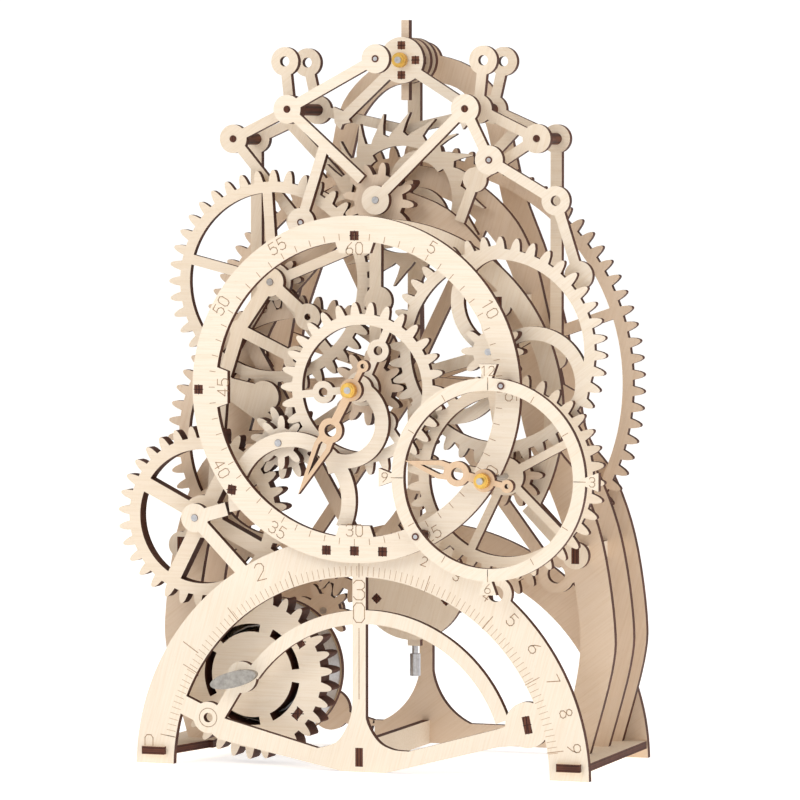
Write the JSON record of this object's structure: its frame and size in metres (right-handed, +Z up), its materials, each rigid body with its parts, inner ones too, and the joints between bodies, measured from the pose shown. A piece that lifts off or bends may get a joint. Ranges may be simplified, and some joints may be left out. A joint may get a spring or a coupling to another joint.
{
  "type": "wooden pendulum clock jigsaw model",
  "caption": "Skeleton pendulum clock cut from thin plywood: scale arches, two ring dials with hands, open gear train, barrel with winding key, anchor and swinging pendulum.",
  "frame": {"origin": "on the surface the feet stand on, under the middle of the whole clock", "axes": "+Z up; the dials face -Y; +X is to the viewer's right; all arbors lie along Y"},
  "size_m": [0.1958, 0.1046, 0.279],
  "materials": {
    "birch_face": "pale sanded birch ply with laser-burnt edges",
    "birch_inner": "birch ply, slightly darker, laser-burnt edges",
    "hand_ply": "thin stained ply",
    "steel": "bright drawn steel",
    "brass": "turned and knurled brass"
  },
  "bodies": {
    "frame": {"base_plates": "birch_face", "front_arch": "birch_face", "front_bridge": "birch_face", "bearing_plate": "birch_inner", "front_frame": "birch_inner", "middle_frame": "birch_inner", "back_frame": "birch_inner", "back_arch": "birch_inner", "frame_ties": "birch_inner", "dial_ties": "birch_inner", "minute_dial": "birch_face", "hour_dial": "birch_face", "crown_front_left": "birch_face", "crown_front_right": "birch_face", "crown_crank_left": "birch_inner", "crown_crank_right": "birch_inner", "crown_rear_left": "birch_inner", "crown_rear_right": "birch_inner", "crown_pins": "birch_inner", "great_wheel_stud": "steel", "finial_spike": "birch_inner"},
    "great_wheel_body": {"great_wheel": "birch_inner"},
    "idler": {"idler_pinion": "birch_inner", "idler_arbor": "steel"},
    "barrel": {"barrel_wheel": "birch_inner", "drive_pinion": "birch_inner", "barrel_posts": "birch_inner", "mainspring": "steel"},
    "winding": {"winding_arbor": "steel", "winding_key": "steel"},
    "winding_train": {"winding_wheel": "birch_face", "winding_wheel_arbor": "steel"},
    "third": {"third_wheel": "birch_inner", "third_pinions": "birch_face", "third_arbor": "steel"},
    "fourth": {"fourth_wheel": "birch_face", "fourth_pinion": "birch_face", "fourth_arbor": "steel"},
    "escape": {"escape_wheel": "birch_face", "escape_pinions": "birch_face", "escape_arbor": "steel"},
    "minute": {"centre_wheel": "birch_face", "minute_pinion": "birch_inner", "minute_arbor": "steel", "minute_hand": "hand_ply", "minute_nut": "brass"},
    "motion": {"motion_wheel": "birch_face", "motion_pinion": "birch_face", "motion_arbor": "steel"},
    "hour": {"hour_wheel": "birch_inner", "hour_collet": "birch_inner", "hour_arbor": "steel", "hour_hand": "hand_ply", "hour_nut": "brass"},
    "pendulum_body": {"anchor": "birch_face", "pendulum_hub": "birch_inner", "pendulum": "birch_inner", "hub_arbor": "steel", "hub_nut": "brass", "rating_nut": "steel"}
  },
  "joints": [
    {"name": "great_wheel_turn", "type": "hinge", "parent": "frame", "child": "great_wheel_body", "pos_m": [0.00133, -0.02875, 0.142], "axis": [0, 1, 0], "continuous": true},
    {"name": "idler_turn", "type": "hinge", "parent": "frame", "child": "idler", "pos_m": [-0.03698, -0.02875, 0.05289], "axis": [0, 1, 0], "continuous": true},
    {"name": "barrel_turn", "type": "hinge", "parent": "frame", "child": "barrel", "pos_m": [-0.04527, -0.02875, 0.0336], "axis": [0, 1, 0], "continuous": true},
    {"name": "key_turn", "type": "hinge", "parent": "frame", "child": "winding", "pos_m": [-0.04527, -0.02875, 0.0336], "axis": [0, 1, 0], "continuous": true},
    {"name": "winding_wheel_turn", "type": "hinge", "parent": "frame", "child": "winding_train", "pos_m": [-0.06397, -0.02875, 0.0927], "axis": [0, 1, 0], "continuous": true},
    {"name": "third_turn", "type": "hinge", "parent": "frame", "child": "third", "pos_m": [-0.03057, -0.02875, 0.1214], "axis": [0, 1, 0], "continuous": true},
    {"name": "fourth_turn", "type": "hinge", "parent": "frame", "child": "fourth", "pos_m": [-0.04057, -0.02875, 0.1806], "axis": [0, 1, 0], "continuous": true},
    {"name": "escape_turn", "type": "hinge", "parent": "frame", "child": "escape", "pos_m": [0.00133, -0.02875, 0.2114], "axis": [0, 1, 0], "continuous": true},
    {"name": "minute_turn", "type": "hinge", "parent": "frame", "child": "minute", "pos_m": [0.00133, -0.02875, 0.142], "axis": [0, 1, 0], "continuous": true},
    {"name": "motion_turn", "type": "hinge", "parent": "frame", "child": "motion", "pos_m": [0.05133, -0.02875, 0.1563], "axis": [0, 1, 0], "continuous": true},
    {"name": "hour_turn", "type": "hinge", "parent": "frame", "child": "hour", "pos_m": [0.05593, -0.02875, 0.1105], "axis": [0, 1, 0], "continuous": true},
    {"name": "pendulum_swing", "type": "hinge", "parent": "frame", "child": "pendulum_body", "pos_m": [0.00133, -0.02875, 0.2638], "axis": [0, 1, 0], "range_deg": [-4, 4]}
  ],
  "couplings": [
    {"joint": "great_wheel_turn", "follows": "barrel_turn", "ratio": 0.13636},
    {"joint": "idler_turn", "follows": "barrel_turn", "ratio": -1.3333},
    {"joint": "winding_wheel_turn", "follows": "barrel_turn", "ratio": -0.9375},
    {"joint": "third_turn", "follows": "barrel_turn", "ratio": 2.5},
    {"joint": "minute_turn", "follows": "barrel_turn", "ratio": -0.66667},
    {"joint": "motion_turn", "follows": "barrel_turn", "ratio": 0.2},
    {"joint": "hour_turn", "follows": "barrel_turn", "ratio": -0.055556},
    {"joint": "fourth_turn", "follows": "barrel_turn", "ratio": -16.25},
    {"joint": "escape_turn", "follows": "barrel_turn", "ratio": 54.167}
  ]
}
